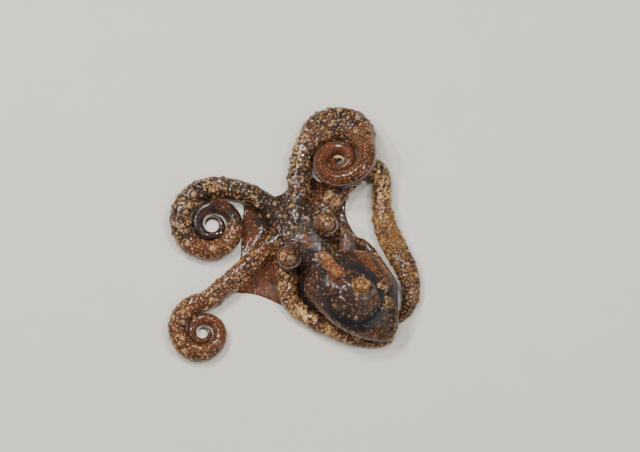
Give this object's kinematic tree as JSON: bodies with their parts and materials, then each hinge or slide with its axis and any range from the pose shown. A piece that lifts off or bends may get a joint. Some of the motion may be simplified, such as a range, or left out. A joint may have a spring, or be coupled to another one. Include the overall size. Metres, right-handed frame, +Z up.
{
  "type": "octopus",
  "caption": "Small reef octopus lying on the sea floor with coiled arms, a still life-size display model.",
  "frame": {"origin": "middle of the base: the centre of the bounding box, on the floor", "axes": "+Z up; the animal lies flat on the XY plane and its head points to -X +Y, 133 degrees from +X; the coiled first right arm is towards +Y"},
  "size_m": [0.1502, 0.157, 0.0324],
  "materials": {
    "skin": "wet, warty skin, dark reddish brown with small tan spots and paler patches",
    "web": "wet thin skin between the arms, orange brown",
    "eye": "clear wet eye with a tan iris and a dark slit pupil"
  },
  "bodies": {
    "root": {"arm_crown": "skin", "arm_l1_1": "skin", "arm_l1_2": "skin", "arm_l1_3": "skin", "arm_l1_4": "skin", "arm_l1_5": "skin", "arm_l1_6": "skin", "arm_l2_1": "skin", "arm_l2_2": "skin", "arm_l2_3": "skin", "arm_l2_4": "skin", "arm_l2_5": "skin", "arm_l3_1": "skin", "arm_l3_2": "skin", "arm_l4_1": "skin", "arm_r1_1": "skin", "arm_r1_2": "skin", "arm_r1_3": "skin", "arm_r1_4": "skin", "arm_r1_5": "skin", "arm_r1_6": "skin", "arm_r2_1": "skin", "arm_r2_2": "skin", "arm_r2_3": "skin", "arm_r3_1": "skin", "arm_r3_2": "skin", "arm_r4_1": "skin", "arm_r4_2": "skin", "eye_left": "eye", "eye_right": "eye", "funnel": "skin", "head": "skin", "mantle": "skin", "web_l1_l2": "web", "web_l2_l3": "web", "web_l3_l4": "web", "web_l4_r4": "web", "web_r1_l1": "web", "web_r2_r1": "web", "web_r3_r2": "web", "web_r4_r3": "web"}
  },
  "joints": []
}
